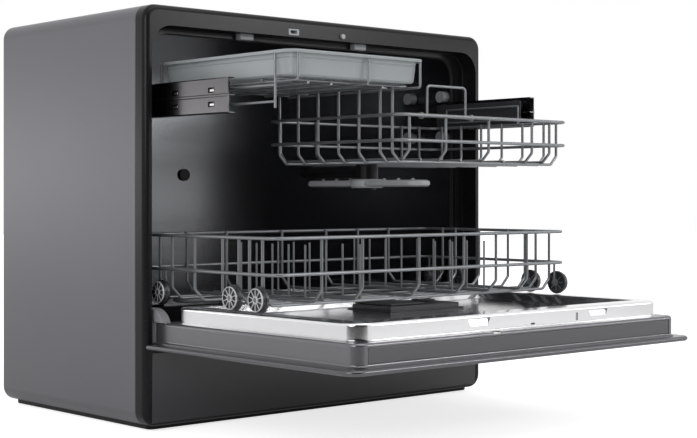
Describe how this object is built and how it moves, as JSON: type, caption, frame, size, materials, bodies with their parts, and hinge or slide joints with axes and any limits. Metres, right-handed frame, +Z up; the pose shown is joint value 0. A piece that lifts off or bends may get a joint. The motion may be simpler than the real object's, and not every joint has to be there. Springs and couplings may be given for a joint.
{
  "type": "countertop dishwasher",
  "caption": "Countertop dishwasher with its drop-down door open, two wire racks drawn out on wheels and rails, a cutlery tray and turning spray arms.",
  "frame": {"origin": "middle of the footprint with the door open and the racks out, on the table", "axes": "+X to the right seen from the front, +Y from the open door to the back, +Z up"},
  "size_m": [0.57, 0.702, 0.5],
  "materials": {
    "casing": "satin warm grey lacquer",
    "dark_plastic": "matte black-grey moulding",
    "door_plastic": "satin mid-grey moulding",
    "control_face": "gloss dark strip",
    "steel": "bright stainless sheet",
    "zinc": "zinc plated",
    "coated_wire": "grey nylon-coated wire",
    "wheel_plastic": "satin dark grey",
    "clip_plastic": "satin near-black",
    "grey_plastic": "satin light grey",
    "rubber": "matte",
    "felt": "bitumen felt wrap",
    "pump": "satin",
    "white_plastic": "satin",
    "blue_cap": "satin",
    "board": "matte"
  },
  "bodies": {
    "cabinet": {"casing_shell": "casing", "front_bezel": "dark_plastic", "plinth_panel": "dark_plastic", "rear_panel": "zinc", "base_tray": "dark_plastic", "feet": "rubber", "tub": "steel", "felt_wrap": "felt", "door_seal": "rubber", "sump": "dark_plastic", "filter_plate": "steel", "circulation_pump": "pump", "drain_pump": "dark_plastic", "inlet_valve": "white_plastic", "cord_gland": "rubber", "salt_container": "white_plastic", "spray_feed_pipe": "dark_plastic", "rail_rollers": "grey_plastic", "hinge_brackets": "zinc", "latch_catch": "clip_plastic", "rear_screws": "zinc"},
    "door": {"door_panel": "dark_plastic", "door_frame": "door_plastic", "door_liner": "steel", "control_strip": "control_face", "control_board": "board", "hinge_covers": "door_plastic", "latch_striker": "zinc", "dispenser_body": "grey_plastic"},
    "dispenser_lid": {"dispenser_lid": "grey_plastic"},
    "rinse_cap": {"rinse_cap": "blue_cap"},
    "lower_rack": {"lower_rack_rim": "coated_wire", "lower_rack_uprights": "coated_wire", "lower_rack_floor": "coated_wire", "lower_rack_cross": "coated_wire", "lower_rack_tines": "coated_wire", "wheel_axles": "coated_wire"},
    "lower_arm": {"lower_spray_arm": "grey_plastic"},
    "upper_rack": {"upper_rack_rim": "coated_wire", "upper_rack_uprights": "coated_wire", "upper_rack_floor": "coated_wire", "upper_rack_cross": "coated_wire", "rack_rollers": "clip_plastic", "upper_arm_mount": "dark_plastic"},
    "upper_arm": {"upper_spray_arm": "grey_plastic"},
    "glass_holder": {"glass_holder": "coated_wire"},
    "cutlery_tray": {"cutlery_tray": "grey_plastic"},
    "rail_left": {"rail_left": "zinc"},
    "rail_right": {"rail_right": "zinc"},
    "filter_basket": {"filter_basket": "grey_plastic"},
    "salt_cap": {"salt_cap": "blue_cap"},
    "door_switch_pin": {"door_switch_pin": "grey_plastic"},
    "wheel_l1": {"wheel_l1": "wheel_plastic"},
    "wheel_l2": {"wheel_l2": "wheel_plastic"},
    "wheel_l3": {"wheel_l3": "wheel_plastic"},
    "wheel_l4": {"wheel_l4": "wheel_plastic"},
    "wheel_r1": {"wheel_r1": "wheel_plastic"},
    "wheel_r2": {"wheel_r2": "wheel_plastic"},
    "wheel_r3": {"wheel_r3": "wheel_plastic"},
    "wheel_r4": {"wheel_r4": "wheel_plastic"}
  },
  "joints": [
    {"name": "door_hinge", "type": "hinge", "parent": "cabinet", "child": "door", "pos_m": [0, 0.019, 0.116], "axis": [-1, 0, 0], "range_deg": [-1.5, 0], "stiffness_Nm_per_rad": 600, "springref_deg": 1.72},
    {"name": "lower_rack_slide", "type": "slide", "parent": "cabinet", "child": "lower_rack", "axis": [0, 1, 0], "range_m": [0, 0.238]},
    {"name": "lower_arm_spin", "type": "hinge", "parent": "cabinet", "child": "lower_arm", "pos_m": [0, 0.1815, 0.1385], "axis": [0, 0, 1], "continuous": true},
    {"name": "upper_rack_slide", "type": "slide", "parent": "cabinet", "child": "upper_rack", "axis": [0, 1, 0], "range_m": [0, 0.264]},
    {"name": "rail_left_slide", "type": "slide", "parent": "cabinet", "child": "rail_left", "axis": [0, 1, 0], "range_m": [0, 0.177]},
    {"name": "rail_right_slide", "type": "slide", "parent": "cabinet", "child": "rail_right", "axis": [0, 1, 0], "range_m": [0, 0.177]},
    {"name": "upper_arm_spin", "type": "hinge", "parent": "upper_rack", "child": "upper_arm", "pos_m": [0, -0.064, 0.291], "axis": [0, 0, 1], "continuous": true},
    {"name": "tray_lift", "type": "slide", "parent": "upper_rack", "child": "cutlery_tray", "axis": [0, 0, 1], "range_m": [0, 0.03]},
    {"name": "glass_holder_fold", "type": "hinge", "parent": "upper_rack", "child": "glass_holder", "pos_m": [0.025, -0.178, 0.371], "axis": [-1, 0, 0], "range_deg": [0, 85]},
    {"name": "dispenser_lid_slide", "type": "slide", "parent": "door", "child": "dispenser_lid", "axis": [-1, 0, 0], "range_m": [0, 0.05]},
    {"name": "rinse_cap_turn", "type": "hinge", "parent": "door", "child": "rinse_cap", "pos_m": [0.07, -0.093, 0.1415], "axis": [0, 0, 1], "range_deg": [0, 90]},
    {"name": "filter_basket_turn", "type": "hinge", "parent": "cabinet", "child": "filter_basket", "pos_m": [0.092, 0.2115, 0.124], "axis": [0, 0, 1], "range_deg": [0, 90]},
    {"name": "salt_cap_turn", "type": "hinge", "parent": "cabinet", "child": "salt_cap", "pos_m": [-0.165, 0.098, 0.125], "axis": [0, 0, 1], "range_deg": [0, 90]},
    {"name": "door_switch_press", "type": "slide", "parent": "cabinet", "child": "door_switch_pin", "axis": [0, 1, 0], "range_m": [0, 0.004], "stiffness_N_per_m": 200, "springref_m": -0.002},
    {"name": "wheel_l1_roll", "type": "hinge", "parent": "lower_rack", "child": "wheel_l1", "pos_m": [-0.251, -0.162, 0.162], "axis": [1, 0, 0], "range_deg": [-910, 0]},
    {"name": "wheel_l2_roll", "type": "hinge", "parent": "lower_rack", "child": "wheel_l2", "pos_m": [-0.251, -0.116, 0.162], "axis": [1, 0, 0], "range_deg": [-910, 0]},
    {"name": "wheel_l3_roll", "type": "hinge", "parent": "lower_rack", "child": "wheel_l3", "pos_m": [-0.251, 0.023, 0.162], "axis": [1, 0, 0], "range_deg": [-910, 0]},
    {"name": "wheel_l4_roll", "type": "hinge", "parent": "lower_rack", "child": "wheel_l4", "pos_m": [-0.251, 0.069, 0.162], "axis": [1, 0, 0], "range_deg": [-910, 0]},
    {"name": "wheel_r1_roll", "type": "hinge", "parent": "lower_rack", "child": "wheel_r1", "pos_m": [0.251, -0.162, 0.162], "axis": [1, 0, 0], "range_deg": [-910, 0]},
    {"name": "wheel_r2_roll", "type": "hinge", "parent": "lower_rack", "child": "wheel_r2", "pos_m": [0.251, -0.116, 0.162], "axis": [1, 0, 0], "range_deg": [-910, 0]},
    {"name": "wheel_r3_roll", "type": "hinge", "parent": "lower_rack", "child": "wheel_r3", "pos_m": [0.251, 0.023, 0.162], "axis": [1, 0, 0], "range_deg": [-910, 0]},
    {"name": "wheel_r4_roll", "type": "hinge", "parent": "lower_rack", "child": "wheel_r4", "pos_m": [0.251, 0.069, 0.162], "axis": [1, 0, 0], "range_deg": [-910, 0]}
  ],
  "couplings": [
    {"joint": "rail_left_slide", "follows": "upper_rack_slide", "ratio": 0.67},
    {"joint": "rail_right_slide", "follows": "upper_rack_slide", "ratio": 0.67},
    {"joint": "wheel_l1_roll", "follows": "lower_rack_slide", "rad_per_m": -66.667},
    {"joint": "wheel_l2_roll", "follows": "lower_rack_slide", "rad_per_m": -66.667},
    {"joint": "wheel_l3_roll", "follows": "lower_rack_slide", "rad_per_m": -66.667},
    {"joint": "wheel_l4_roll", "follows": "lower_rack_slide", "rad_per_m": -66.667},
    {"joint": "wheel_r1_roll", "follows": "lower_rack_slide", "rad_per_m": -66.667},
    {"joint": "wheel_r2_roll", "follows": "lower_rack_slide", "rad_per_m": -66.667},
    {"joint": "wheel_r3_roll", "follows": "lower_rack_slide", "rad_per_m": -66.667},
    {"joint": "wheel_r4_roll", "follows": "lower_rack_slide", "rad_per_m": -66.667}
  ]
}
